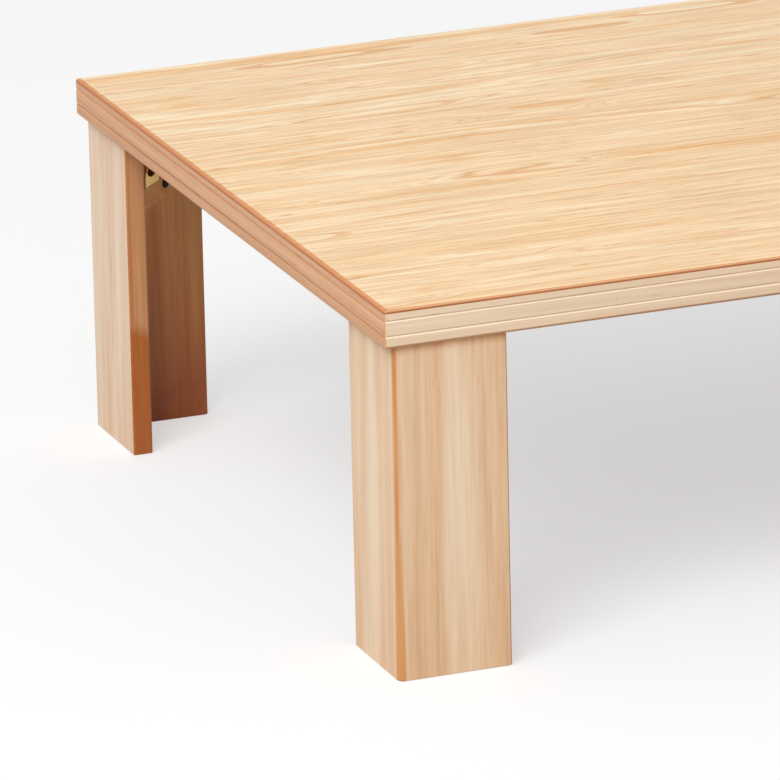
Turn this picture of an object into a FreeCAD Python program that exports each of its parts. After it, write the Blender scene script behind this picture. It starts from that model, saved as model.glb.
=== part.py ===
import FreeCAD, Part
import math
import os

import Sketcher

# A folding low table: a framed top on four L-shaped legs.
# Each leg swings under the top about a hinge that lies across its own corner.
# Millimetres, +Z up, +X along the table, origin on the floor under the middle of the top.

# Driving dimensions: alias, value and meaning.
DIMENSIONS = [
    ("table_length", 1200, "top, along X"),
    ("table_depth", 750, "top, along Y"),
    ("table_height", 321, "floor to upper face"),
    ("top_thickness", 33, "upper face to underside"),
    ("face_thickness", 3, "veneered sheet on top of the frame"),
    ("face_ease", 2.5, "round on the upper edge of the veneered sheet"),
    ("base_thickness", 3, "sheet that closes the underside"),
    ("corner_round", 3, "upright round at the four corners of the top"),
    ("edge_width", 25, "edge moulding, outer face to inner face"),
    ("edge_ease", 2.5, "round on the lower edge of the moulding"),
    ("groove_width", 2.2, "mouth of each groove in the moulding"),
    ("groove_depth", 1.4, "depth of each groove in the moulding"),
    ("groove_upper_drop", 9.5, "upper face to the middle of the upper groove"),
    ("groove_lower_drop", 22.6, "upper face to the middle of the lower groove"),
    ("rail_width", 40, "core rails inside the top"),
    ("cross_rail_pitch", 250, "step between the core cross rails"),
    ("backing_side", 100, "core block that the hinge screws hold in"),
    ("leg_width", 100, "outer width of each of the two boards of a leg"),
    ("board_thickness", 18, "leg boards"),
    ("leg_round", 6, "round on the outer corner of a leg"),
    ("board_ease", 2, "round on the free edges of the leg boards"),
    ("leg_inset_end", 8, "end of the top to the leg"),
    ("leg_inset_side", 4, "long side of the top to the leg"),
    ("leg_top_gap", 0.5, "leg to the underside of the top"),
    ("block_drop", 58, "underside of the top to the corner block"),
    ("block_height", 20, "corner block"),
    ("block_reach", 49, "corner block along each board"),
    ("block_nose", 4, "blunt end of the corner block"),
    ("steel_thickness", 2, "pressed steel of the hinge"),
    ("leaf_thickness", 1, "leaf spring"),
    ("leaf_room", 2, "space above the leaf spring for it to bend into"),
    ("cam_flat", 8, "pivot to the two flats that the leaf spring presses on"),
    ("cam_round", 5, "round between the two flats"),
    ("pivot_clear", 2, "pivot past the inner edges of the leg"),
    ("yoke_width", 28, "outside of the two cheeks of the yoke"),
    ("yoke_foot", 22, "foot of the yoke, front to back"),
    ("yoke_heel", 12, "height of the cheeks at the back of the foot"),
    ("web_height", 14, "front web of the yoke where it meets the cheeks"),
    ("web_dip", 7, "how far the upper edge of the web dips in the middle"),
    ("cheek_gap", 0.3, "yoke cheek to the ear of the hinge plate"),
    ("ear_radius", 8, "round end of the ears of the hinge plate"),
    ("plate_front", 30, "hinge plate, pivot to its front end"),
    ("plate_rear", 33, "hinge plate, pivot to its rear end"),
    ("plate_width", 50, "hinge plate, across"),
    ("plate_round", 6, "round on the corners of the hinge plate"),
    ("leaf_front", 10, "leaf spring, pivot to its free end"),
    ("leaf_rear", 32, "leaf spring, pivot to its fixed end"),
    ("pin_radius", 3, "pivot pin"),
    ("pin_fit", 0.05, "radial clearance on the pivot pin"),
    ("pin_head_radius", 5, "heads of the pivot pin"),
    ("pin_head_height", 1.8, "heads of the pivot pin"),
    ("pin_head_gap", 0.2, "pin head to the ear of the hinge plate"),
    ("bush_wall", 2, "spacer tube on the pivot pin"),
    ("screw_fit", 0.05, "radial clearance round screws and rivets"),
    ("plate_screw_front", 22, "pivot to the front screws of the hinge plate"),
    ("plate_screw_rear", 26, "pivot to the rear screws of the hinge plate"),
    ("plate_screw_spread", 38, "between the screws of a pair"),
    ("plate_screw_radius", 2, "hinge plate screws"),
    ("plate_screw_length", 18, "hinge plate screws, under the head"),
    ("plate_screw_head", 3.6, "radius of the heads of the hinge plate screws"),
    ("rivet_place", 27, "pivot to the rivets of the leaf spring"),
    ("rivet_spread", 14, "between the two rivets"),
    ("rivet_radius", 1.5, "rivets"),
    ("rivet_head", 3, "radius of rivet heads and shoulders"),
    ("rivet_head_height", 1, "rivet heads"),
    ("foot_screw_back", 12, "front of the yoke to its screws"),
    ("foot_screw_spread", 13, "between the two screws of the yoke"),
    ("foot_screw_radius", 1.9, "yoke screws"),
    ("foot_screw_length", 17, "yoke screws, under the head"),
    ("foot_screw_head", 3.4, "radius of the heads of the yoke screws"),
    ("block_screw_drop", 6, "top of the corner block to its screws"),
    ("block_screw_spread", 50, "between the two screws of the corner block"),
    ("block_screw_radius", 2.2, "corner block screws"),
    ("block_screw_length", 30, "corner block screws, under the head"),
    ("block_screw_head", 4.8, "radius of the heads of the corner block screws"),
    ("screw_head_height", 2.4, "all screw heads"),
    ("recess_width", 0.9, "arms of the cross recess in the screw heads"),
    ("recess_depth", 1.3, "cross recess in the screw heads"),
]

DIAGONAL = 45
SAME_HEIGHT = 1e-6

# Corner of the table: side along X, side along Y, turn of its leg about Z.
CORNERS = {
    "front_left": (-1, -1, 0),
    "front_right": (1, -1, 90),
    "back_right": (1, 1, 180),
    "back_left": (-1, 1, 270),
}

# Edge moulding: side along X, side along Y, turn about Z.
EDGES = {
    "front": (0, -1, 0),
    "right": (1, 0, 90),
    "back": (0, 1, 180),
    "left": (-1, 0, 270),
}


class Size:
    """A length with its value and the sheet formula that gives it."""

    def __init__(self, value, formula=None):
        self.value = float(value)
        self.formula = formula or repr(float(value))

    def __add__(self, other):
        other = as_size(other)
        return Size(self.value + other.value, f"({self.formula} + {other.formula})")

    def __sub__(self, other):
        other = as_size(other)
        return Size(self.value - other.value, f"({self.formula} - {other.formula})")

    def __mul__(self, factor):
        other = as_size(factor)
        return Size(self.value * other.value, f"({self.formula} * {other.formula})")

    def __truediv__(self, factor):
        other = as_size(factor)
        return Size(self.value / other.value, f"({self.formula} / {other.formula})")

    def __neg__(self):
        return self * -1

    __radd__ = __add__
    __rmul__ = __mul__


def as_size(value):
    return value if isinstance(value, Size) else Size(value)


doc = FreeCAD.newDocument("folding_low_table")
sheet = doc.addObject("Spreadsheet::Sheet", "Params")
for row, (alias, number, meaning) in enumerate(DIMENSIONS, start=1):
    sheet.set(f"A{row}", alias)
    sheet.set(f"B{row}", str(number))
    sheet.set(f"C{row}", meaning)
    sheet.setAlias(f"B{row}", alias)
doc.recompute()


def dim(alias):
    return Size(sheet.get(alias), f"Params.{alias}")


def slant(size):
    """How far a length along the diagonal reaches along X or Y."""
    return size * math.cos(math.radians(DIAGONAL))


# Helpers for bound features.

def bind(item, name, size):
    """Set a length of an object and tie it to its formula."""
    size = as_size(size)
    setattr(item, name, size.value)
    item.setExpression(name, size.formula)


def place(item, x, y, z, turn=None):
    """Put an object at a bound point, turned as given."""
    point = [as_size(value) for value in (x, y, z)]
    base = FreeCAD.Vector(*[size.value for size in point])
    item.Placement = FreeCAD.Placement(base, turn or FreeCAD.Rotation())
    for axis, size in zip("xyz", point):
        item.setExpression(f".Placement.Base.{axis}", size.formula)


def about_z(degrees):
    return FreeCAD.Rotation(FreeCAD.Vector(0, 0, 1), degrees)


def new_body(label):
    body = doc.addObject("PartDesign::Body", label)
    body.Label = label
    body.AllowCompound = True
    return body


def new_sketch(body, role, lift=0):
    """Make a sketch on one of the body's own planes, lifted along the plane's normal."""
    sketch = body.newObject("Sketcher::SketchObject", f"{body.Name}_sketch")
    plane = next(item for item in body.Origin.OriginFeatures if item.Role == role)
    sketch.AttachmentSupport = [(plane, "")]
    sketch.MapMode = "FlatFace"
    lift = as_size(lift)
    sketch.AttachmentOffset = FreeCAD.Placement(FreeCAD.Vector(0, 0, lift.value), FreeCAD.Rotation())
    sketch.setExpression("AttachmentOffset.Base.z", lift.formula)
    return sketch


def fix(sketch, kind, *target):
    """Add a dimension to a sketch and tie it to its formula."""
    *where, size = target
    number = sketch.addConstraint(Sketcher.Constraint(kind, *where, size.value))
    sketch.setExpression(f"Constraints[{number}]", size.formula)


def fix_point(sketch, geometry, end, x, y):
    fix(sketch, "DistanceX", -1, 1, geometry, end, x)
    fix(sketch, "DistanceY", -1, 1, geometry, end, y)


def arc_between(start, finish, radius):
    """Short arc between two points, to the left for a positive radius."""
    chord = finish - start
    rise = math.sqrt(max(radius ** 2 - (chord.Length / 2) ** 2, 0.0))
    side = FreeCAD.Vector(-chord.y, chord.x, 0).normalize() * math.copysign(rise, radius)
    centre = (start + finish) * 0.5 + side
    ends = (start, finish) if radius > 0 else (finish, start)
    angles = [math.atan2(point.y - centre.y, point.x - centre.x) for point in ends]
    circle = Part.Circle(centre, FreeCAD.Vector(0, 0, 1), abs(radius))
    return Part.ArcOfCircle(circle, *angles)


def outline(sketch, corners):
    """Closed outline. A third entry is the radius of the arc to the next corner, negative to its right."""
    corners = [tuple(as_size(value) for value in corner) for corner in corners]
    points = [FreeCAD.Vector(corner[0].value, corner[1].value, 0) for corner in corners]
    pieces = []
    for number, corner in enumerate(corners):
        start = points[number]
        finish = points[(number + 1) % len(points)]
        if len(corner) == 2:
            shape = Part.LineSegment(start, finish)
        else:
            shape = arc_between(start, finish, corner[2].value)
        backwards = len(corner) == 3 and corner[2].value < 0
        first, last = (2, 1) if backwards else (1, 2)
        pieces.append((sketch.addGeometry(shape), first, last))
    for number, (geometry, first, last) in enumerate(pieces):
        following = pieces[(number + 1) % len(pieces)]
        sketch.addConstraint(Sketcher.Constraint("Coincident", geometry, last, *following[:2]))
    for corner, (geometry, first, last) in zip(corners, pieces):
        fix_point(sketch, geometry, first, *corner[:2])
        if len(corner) == 3:
            fix(sketch, "Radius", geometry, Size(abs(corner[2].value), f"abs({corner[2].formula})"))


def rectangle(sketch, left, right, low, high):
    outline(sketch, [(left, low), (right, low), (right, high), (left, high)])


def rounded_rectangle(sketch, left, right, low, high, radius):
    outline(sketch, [
        (left + radius, low), (right - radius, low, radius),
        (right, low + radius), (right, high - radius, radius),
        (right - radius, high), (left + radius, high, radius),
        (left, high - radius), (left, low + radius, radius),
    ])


def circle(sketch, x, y, radius):
    x, y, radius = as_size(x), as_size(y), as_size(radius)
    centre = FreeCAD.Vector(x.value, y.value, 0)
    geometry = sketch.addGeometry(Part.Circle(centre, FreeCAD.Vector(0, 0, 1), radius.value))
    fix_point(sketch, geometry, 3, x, y)
    fix(sketch, "Radius", geometry, radius)


def pad(body, sketch, length, both_ways=False):
    feature = body.newObject("PartDesign::Pad", f"{body.Name}_pad")
    feature.Profile = sketch
    feature.SideType = "Symmetric" if both_ways else "One side"
    bind(feature, "Length", length)
    return feature


def cut_through(body, sketch):
    feature = body.newObject("PartDesign::Pocket", f"{body.Name}_cut")
    feature.Profile = sketch
    feature.SideType = "Symmetric"
    feature.Type = "ThroughAll"
    return feature


def cut_between(body, sketch, length):
    """Cut a width that lies evenly on both sides of the sketch."""
    feature = body.newObject("PartDesign::Pocket", f"{body.Name}_cut")
    feature.Profile = sketch
    feature.SideType = "Symmetric"
    bind(feature, "Length", length)
    return feature


def bore(body, x, y, z, direction, radius, length):
    """Drill a round hole from a point along a direction."""
    hole = body.newObject("PartDesign::SubtractiveCylinder", f"{body.Name}_bore")
    bind(hole, "Radius", radius)
    bind(hole, "Height", length)
    place(hole, x, y, z, FreeCAD.Rotation(FreeCAD.Vector(0, 0, 1), direction))
    return hole


def turned(label, profile):
    """Turn an outline of radius and height about Z."""
    body = new_body(label)
    sketch = new_sketch(body, "XZ_Plane")
    outline(sketch, profile)
    feature = body.newObject("PartDesign::Revolution", f"{label}_turn")
    feature.Profile = sketch
    feature.ReferenceAxis = (sketch, ["V_Axis"])
    feature.Angle = 360
    return body


def group(label, pattern, places):
    """Copies of one fastener as one sub-part."""
    copies = []
    for x, y, z, turn in places:
        copy = doc.addObject("App::Link", f"{label}_copy")
        copy.LinkedObject = pattern
        place(copy, x, y, z, turn)
        copies.append(copy)
    whole = doc.addObject("Part::Compound", label)
    whole.Label = label
    whole.Links = copies
    return whole


# Sizes that several pieces share.

half_length = dim("table_length") / 2
half_depth = dim("table_depth") / 2
underside = dim("table_height") - dim("top_thickness")
frame_height = dim("top_thickness") - dim("face_thickness")
core_height = frame_height - dim("base_thickness")
core_floor = underside + dim("base_thickness")
inner_length = half_length - dim("edge_width")
inner_depth = half_depth - dim("edge_width")
board = dim("board_thickness")
steel = dim("steel_thickness")
leg_length = underside - dim("leg_top_gap")
pin_hole = dim("pin_radius") + dim("pin_fit")

# Down from the underside to the pivot: plate, room for the leaf to bend, leaf, flat of the yoke.
leaf_seat = dim("cam_flat") + dim("leaf_thickness")
plate_seat = leaf_seat + dim("leaf_room")
pivot_drop = plate_seat + steel

# Along the inward diagonal from the outer corner of a leg.
pivot_reach = slant(dim("leg_width") + board) + dim("pivot_clear")
block_face = slant(board * 2 + dim("block_reach") + dim("block_nose"))

# Seen from the pivot: front of the yoke's foot and top of the corner block.
foot_front = block_face - pivot_reach
foot_seat = pivot_drop - dim("block_drop")

ear_inside = dim("yoke_width") / 2 + dim("cheek_gap")
ear_outside = ear_inside + steel
cheek_inside = dim("yoke_width") / 2 - steel


def leg_place(item, corner):
    """Put a piece drawn from the outer corner of a leg at the underside."""
    side_x, side_y, turn = CORNERS[corner]
    x = (half_length - dim("leg_inset_end")) * side_x
    y = (half_depth - dim("leg_inset_side")) * side_y
    place(item, x, y, underside, about_z(turn))


def hinge_point(corner, ahead, across):
    """Table X and Y of a point ahead of the pivot and across it."""
    side_x, side_y, turn = CORNERS[corner]
    angle = math.radians(turn + DIAGONAL)
    cosine = round(math.cos(angle), 15)
    sine = round(math.sin(angle), 15)
    ahead = as_size(ahead) + pivot_reach
    across = as_size(across)
    x = (half_length - dim("leg_inset_end")) * side_x + ahead * cosine - across * sine
    y = (half_depth - dim("leg_inset_side")) * side_y + ahead * sine + across * cosine
    return x, y


def hinge_place(item, corner):
    """Put a piece drawn about the pivot, with X inward and Y along the pin."""
    turn = CORNERS[corner][2] + DIAGONAL
    place(item, *hinge_point(corner, 0, 0), underside - pivot_drop, about_z(turn))


def diagonal_point(along, across):
    """Leg-frame X and Y of a point on the inward diagonal."""
    return slant(along - across), slant(along + across)


def plate_screw_places():
    """Ahead and across of the four screws of a hinge plate."""
    half = dim("plate_screw_spread") / 2
    return [(ahead, across)
            for ahead in (dim("plate_screw_front"), -dim("plate_screw_rear"))
            for across in (half, -half)]


# The top.

def top_panel():
    body = new_body("top_panel")
    sketch = new_sketch(body, "XY_Plane")
    rounded_rectangle(sketch, -half_length, half_length, -half_depth, half_depth, dim("corner_round"))
    sheet_pad = pad(body, sketch, dim("face_thickness"))
    doc.recompute()
    top = dim("face_thickness").value
    rim = [f"Edge{number}" for number, edge in enumerate(sheet_pad.Shape.Edges, start=1)
           if min(vertex.Z for vertex in edge.Vertexes) > top - SAME_HEIGHT]
    ease = body.newObject("PartDesign::Fillet", "top_panel_ease")
    ease.Base = (sheet_pad, rim)
    bind(ease, "Radius", dim("face_ease"))
    place(body, 0, 0, underside + frame_height)
    return body


def edge_moulding(name):
    """Moulding with two grooves, mitred at both ends, drawn from its outer lower edge."""
    side_x, side_y, turn = EDGES[name]
    half = half_length if side_y else half_depth
    width = dim("edge_width")
    ease = dim("edge_ease")
    body = new_body(f"edge_{name}")
    section = new_sketch(body, "YZ_Plane")
    face = []
    for drop in (dim("groove_lower_drop"), dim("groove_upper_drop")):
        middle = dim("top_thickness") - drop
        face.append((0, middle - dim("groove_width") / 2))
        face.append((dim("groove_depth"), middle))
        face.append((0, middle + dim("groove_width") / 2))
    outline(section, [(width, 0), (ease, 0, -ease), (0, ease), *face,
                      (0, frame_height), (width, frame_height)])
    pad(body, section, half * 2, both_ways=True)
    mitre = new_sketch(body, "XY_Plane")
    arc = dim("corner_round")
    tuck = arc - slant(arc)
    outline(mitre, [(half - arc, 0, arc), (half - tuck, tuck), (half - width, width),
                    (half, width), (half, 0)])
    outline(mitre, [(arc - half, 0, -arc), (tuck - half, tuck), (width - half, width),
                    (-half, width), (-half, 0)])
    cut_through(body, mitre)
    place(body, half_length * side_x, half_depth * side_y, underside, about_z(turn))
    return body


def bottom_panel():
    body = new_body("bottom_panel")
    sketch = new_sketch(body, "XY_Plane")
    rectangle(sketch, -inner_length, inner_length, -inner_depth, inner_depth)
    pad(body, sketch, dim("base_thickness"))
    drill_for_hinges(body)
    place(body, 0, 0, underside)
    return body


def drill_for_hinges(body):
    """Holes for the hinge plate screws of all four corners."""
    holes = new_sketch(body, "XY_Plane")
    screw_hole = dim("plate_screw_radius") + dim("screw_fit")
    for corner in CORNERS:
        for ahead, across in plate_screw_places():
            circle(holes, *hinge_point(corner, ahead, across), screw_hole)
    cut_through(body, holes)


def core_long_rails():
    body = new_body("core_long_rails")
    sketch = new_sketch(body, "XY_Plane")
    reach = inner_length - dim("backing_side")
    inside = inner_depth - dim("rail_width")
    rectangle(sketch, -reach, reach, inside, inner_depth)
    rectangle(sketch, -reach, reach, -inner_depth, -inside)
    pad(body, sketch, core_height)
    place(body, 0, 0, core_floor)
    return body


def core_end_rails():
    body = new_body("core_end_rails")
    sketch = new_sketch(body, "XY_Plane")
    reach = inner_depth - dim("backing_side")
    inside = inner_length - dim("rail_width")
    rectangle(sketch, inside, inner_length, -reach, reach)
    rectangle(sketch, -inner_length, -inside, -reach, reach)
    pad(body, sketch, core_height)
    place(body, 0, 0, core_floor)
    return body


def core_cross_rails():
    body = new_body("core_cross_rails")
    sketch = new_sketch(body, "XY_Plane")
    reach = inner_depth - dim("rail_width")
    half = dim("rail_width") / 2
    for step in (-1, 0, 1):
        middle = dim("cross_rail_pitch") * step
        rectangle(sketch, middle - half, middle + half, -reach, reach)
    pad(body, sketch, core_height)
    place(body, 0, 0, core_floor)
    return body


def hinge_backing_blocks():
    body = new_body("hinge_backing_blocks")
    sketch = new_sketch(body, "XY_Plane")
    near_x = inner_length - dim("backing_side")
    near_y = inner_depth - dim("backing_side")
    for left, right in ((near_x, inner_length), (-inner_length, -near_x)):
        for low, high in ((near_y, inner_depth), (-inner_depth, -near_y)):
            rectangle(sketch, left, right, low, high)
    pad(body, sketch, core_height)
    drill_for_hinges(body)
    place(body, 0, 0, core_floor)
    return body


# The legs, drawn from their outer corner at the underside, with the boards along +X and +Y.

def block_screw_heads():
    """Leg-frame points where the screws enter the face of the corner block."""
    height = -(dim("block_drop") + dim("block_screw_drop"))
    half = dim("block_screw_spread") / 2
    return [(*diagonal_point(block_face, across), height) for across in (half, -half)]


def drill_for_block_screws(body):
    inward = FreeCAD.Vector(-1, -1, 0)
    screw_hole = dim("block_screw_radius") + dim("screw_fit")
    for x, y, z in block_screw_heads():
        bore(body, x, y, z, inward, screw_hole, dim("block_screw_length"))


def leg_board(label, corner, along_x):
    """Board with a mitre at the corner of the leg and an eased free edge."""
    body = new_body(label)
    width = dim("leg_width")
    arc = dim("leg_round")
    ease = dim("board_ease")
    tuck = arc - slant(arc)
    path = [(tuck, tuck, -arc), (0, arc), (0, width - ease, -ease), (ease, width),
            (board - ease, width, -ease), (board, width - ease), (board, board)]
    if along_x:
        path = [(y, x, *[-radius for radius in rest]) for x, y, *rest in path]
    sketch = new_sketch(body, "XY_Plane", -(dim("leg_top_gap") + leg_length))
    outline(sketch, path)
    pad(body, sketch, leg_length)
    drill_for_block_screws(body)
    leg_place(body, corner)
    return body


def corner_block(corner):
    """Block across the inside of the leg that carries the hinge yoke."""
    body = new_body(f"corner_block_{corner}")
    reach = board + dim("block_reach")
    nose = board + dim("block_nose")
    sketch = new_sketch(body, "XY_Plane", -(dim("block_drop") + dim("block_height")))
    outline(sketch, [(board, board), (reach, board), (reach, nose), (nose, reach), (board, reach)])
    pad(body, sketch, dim("block_height"))
    drill_for_block_screws(body)
    for across in (dim("foot_screw_spread") / 2, -dim("foot_screw_spread") / 2):
        x, y = diagonal_point(block_face - dim("foot_screw_back"), across)
        down = FreeCAD.Vector(0, 0, -1)
        depth = dim("foot_screw_length") - steel
        bore(body, x, y, -dim("block_drop"), down, dim("foot_screw_radius") + dim("screw_fit"), depth)
    leg_place(body, corner)
    return body


# The hinges, drawn about the pivot with X inward along the diagonal and Y along the pin.

def hinge_base(corner):
    """Plate under the top with two ears for the pivot pin."""
    body = new_body(f"hinge_base_{corner}")
    half = dim("plate_width") / 2
    plate = new_sketch(body, "XY_Plane", plate_seat)
    rounded_rectangle(plate, -dim("plate_rear"), dim("plate_front"), -half, half, dim("plate_round"))
    pad(body, plate, steel)
    end = dim("ear_radius")
    ears = new_sketch(body, "XZ_Plane")
    outline(ears, [(-end, plate_seat), (-end, 0, end), (0, -end, end), (end, 0), (end, plate_seat)])
    pad(body, ears, ear_outside * 2, both_ways=True)
    gap = new_sketch(body, "XZ_Plane")
    rectangle(gap, -end * 2, end * 2, -end * 2, plate_seat)
    cut_between(body, gap, ear_inside * 2)
    pin = new_sketch(body, "XZ_Plane")
    circle(pin, 0, 0, pin_hole)
    cut_through(body, pin)
    holes = new_sketch(body, "XY_Plane")
    for ahead, across in plate_screw_places():
        circle(holes, ahead, across, dim("plate_screw_radius") + dim("screw_fit"))
    for across in (dim("rivet_spread") / 2, -dim("rivet_spread") / 2):
        circle(holes, -dim("rivet_place"), across, dim("rivet_radius") + dim("screw_fit"))
    cut_through(body, holes)
    hinge_place(body, corner)
    return body


def leaf_spring(corner):
    """Strip that presses on the flats of the yoke and holds the leg out or folded."""
    body = new_body(f"leaf_spring_{corner}")
    half = dim("yoke_width") / 2
    strip = new_sketch(body, "XY_Plane", dim("cam_flat"))
    rectangle(strip, -dim("leaf_rear"), dim("leaf_front"), -half, half)
    pad(body, strip, dim("leaf_thickness"))
    holes = new_sketch(body, "XY_Plane")
    for across in (dim("rivet_spread") / 2, -dim("rivet_spread") / 2):
        circle(holes, -dim("rivet_place"), across, dim("rivet_radius") + dim("screw_fit"))
    cut_through(body, holes)
    hinge_place(body, corner)
    return body


def yoke(corner):
    """Pressed bracket on the corner block: foot, front web and two cheeks up to the pivot."""
    body = new_body(f"yoke_{corner}")
    flat = dim("cam_flat")
    ease = dim("cam_round")
    sweep = flat - foot_front
    back = foot_front - dim("yoke_foot")
    floor = foot_seat + steel
    cheek = new_sketch(body, "XZ_Plane")
    outline(cheek, [
        (back, foot_seat), (foot_front, foot_seat), (foot_front, -flat - sweep, -sweep),
        (flat, -flat), (flat, flat - ease, ease), (flat - ease, flat), (-flat, flat),
        (back, foot_seat + dim("yoke_heel")),
    ])
    pad(body, cheek, dim("yoke_width"), both_ways=True)
    web_top = foot_seat + dim("web_height")
    room = new_sketch(body, "XZ_Plane")
    beyond = dim("leg_width")
    outline(room, [
        (-beyond, floor), (foot_front - steel, floor), (foot_front - steel, web_top),
        (beyond, web_top), (beyond, beyond), (-beyond, beyond),
    ])
    cut_between(body, room, cheek_inside * 2)
    dip = new_sketch(body, "YZ_Plane")
    sag = dim("web_dip")
    bend = (cheek_inside * cheek_inside + sag * sag) / (sag * 2)
    outline(dip, [(-cheek_inside, web_top, bend), (cheek_inside, web_top),
                  (cheek_inside, 0), (-cheek_inside, 0)])
    cut_through(body, dip)
    pin = new_sketch(body, "XZ_Plane")
    circle(pin, 0, 0, pin_hole)
    cut_through(body, pin)
    holes = new_sketch(body, "XY_Plane")
    screw_hole = dim("foot_screw_radius") + dim("screw_fit")
    for across in (dim("foot_screw_spread") / 2, -dim("foot_screw_spread") / 2):
        circle(holes, foot_front - dim("foot_screw_back"), across, screw_hole)
    cut_through(body, holes)
    hinge_place(body, corner)
    return body


def pivot_pin(corner):
    """Rivet with a head outside each ear."""
    body = new_body(f"pivot_pin_{corner}")
    shank = ear_outside + dim("pin_head_gap")
    core = new_sketch(body, "XZ_Plane")
    circle(core, 0, 0, dim("pin_radius"))
    pad(body, core, shank * 2 + dim("pin_head_height") * 2, both_ways=True)
    for lift in (shank, -(shank + dim("pin_head_height"))):
        head = new_sketch(body, "XZ_Plane", lift)
        circle(head, 0, 0, dim("pin_head_radius"))
        pad(body, head, dim("pin_head_height"))
    hinge_place(body, corner)
    return body


def pivot_bush(corner):
    """Spacer tube on the pin between the cheeks of the yoke."""
    body = new_body(f"pivot_bush_{corner}")
    ring = new_sketch(body, "XZ_Plane")
    circle(ring, 0, 0, pin_hole + dim("bush_wall"))
    circle(ring, 0, 0, pin_hole)
    pad(body, ring, cheek_inside * 2, both_ways=True)
    hinge_place(body, corner)
    return body


# Fasteners.

def screw(label, radius, length, head):
    """Pan-head screw with a cross recess, with its seat at the origin and its shank along -Z."""
    height = dim("screw_head_height")
    crown = height / 2
    body = turned(label, [
        (0, -length), (radius, radius - length), (radius, 0), (head, 0),
        (head, crown), (head - crown, height), (0, height),
    ])
    arm = slant(head)
    half = dim("recess_width") / 2
    cross = new_sketch(body, "XY_Plane", height)
    outline(cross, [
        (half, half), (half, arm), (-half, arm), (-half, half), (-arm, half), (-arm, -half),
        (-half, -half), (-half, -arm), (half, -arm), (half, -half), (arm, -half), (arm, half),
    ])
    recess = body.newObject("PartDesign::Pocket", f"{label}_recess")
    recess.Profile = cross
    bind(recess, "Length", dim("recess_depth"))
    return body


def shouldered_rivet():
    """Rivet through the leaf spring with a shoulder that holds it off the hinge plate."""
    shank = dim("rivet_radius")
    wide = dim("rivet_head")
    low = dim("cam_flat")
    return turned("leaf_rivet_pattern", [
        (0, low - dim("rivet_head_height")), (wide, low - dim("rivet_head_height")), (wide, low),
        (shank, low), (shank, leaf_seat), (wide, leaf_seat), (wide, plate_seat),
        (shank, plate_seat), (shank, pivot_drop), (0, pivot_drop),
    ])


def hinge_base_screws():
    pattern = screw("plate_screw_pattern", dim("plate_screw_radius"),
                    dim("plate_screw_length"), dim("plate_screw_head"))
    upside_down = FreeCAD.Rotation(FreeCAD.Vector(1, 0, 0), 180)
    seat = underside - steel
    places = [(*hinge_point(corner, ahead, across), seat, upside_down)
              for corner in CORNERS for ahead, across in plate_screw_places()]
    return group("hinge_base_screws", pattern, places)


def leaf_spring_rivets():
    half = dim("rivet_spread") / 2
    places = [(*hinge_point(corner, -dim("rivet_place"), across), underside - pivot_drop, None)
              for corner in CORNERS for across in (half, -half)]
    return group("leaf_spring_rivets", shouldered_rivet(), places)


def yoke_screws(corner, pattern):
    half = dim("foot_screw_spread") / 2
    seat = underside - dim("block_drop") + steel
    places = [(*hinge_point(corner, foot_front - dim("foot_screw_back"), across), seat, None)
              for across in (half, -half)]
    return group(f"yoke_screws_{corner}", pattern, places)


def block_screws(corner, pattern):
    turn = CORNERS[corner][2] + DIAGONAL
    facing = about_z(turn) * FreeCAD.Rotation(FreeCAD.Vector(0, 1, 0), 90)
    half = dim("block_screw_spread") / 2
    height = underside - dim("block_drop") - dim("block_screw_drop")
    places = [(*hinge_point(corner, foot_front, across), height, facing) for across in (half, -half)]
    return group(f"block_screws_{corner}", pattern, places)


def leg_boards(corner):
    """The board along X is the side board where the leg stands as drawn or half turned."""
    straight = CORNERS[corner][2] % 180 == 0
    yield leg_board(f"side_board_{corner}", corner, along_x=straight)
    yield leg_board(f"end_board_{corner}", corner, along_x=not straight)


def table():
    """All sub-parts of the table."""
    yield top_panel()
    yield bottom_panel()
    for name in EDGES:
        yield edge_moulding(name)
    yield core_long_rails()
    yield core_end_rails()
    yield core_cross_rails()
    yield hinge_backing_blocks()
    yield hinge_base_screws()
    yield leaf_spring_rivets()
    foot_screw = screw("foot_screw_pattern", dim("foot_screw_radius"),
                       dim("foot_screw_length"), dim("foot_screw_head"))
    block_screw = screw("block_screw_pattern", dim("block_screw_radius"),
                        dim("block_screw_length"), dim("block_screw_head"))
    for corner in CORNERS:
        yield hinge_base(corner)
        yield leaf_spring(corner)
        yield from leg_boards(corner)
        yield corner_block(corner)
        yield yoke(corner)
        yield pivot_pin(corner)
        yield pivot_bush(corner)
        yield yoke_screws(corner, foot_screw)
        yield block_screws(corner, block_screw)


def check(parts):
    """Stop on a failed object or a shape that is empty or broken."""
    failed = [item.Label for item in doc.Objects if {"Invalid", "Error"} & set(item.State)]
    if failed:
        raise RuntimeError(f"failed objects: {failed}")
    broken = [part.Label for part in parts if part.Shape.isNull() or not part.Shape.isValid()]
    if broken:
        raise RuntimeError(f"broken shapes: {broken}")


parts = list(table())
doc.recompute()
check(parts)
os.makedirs("parts", exist_ok=True)
for part in parts:
    part.Shape.exportStep(f"parts/{part.Label}.step")
    print(part.Label, len(part.Shape.Solids), round(part.Shape.Volume, 1))
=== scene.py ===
"""Looks of the folding low table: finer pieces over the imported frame, their finishes, and the stage."""

import math

import bmesh
import bpy
from mathutils import Matrix, Vector


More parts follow.
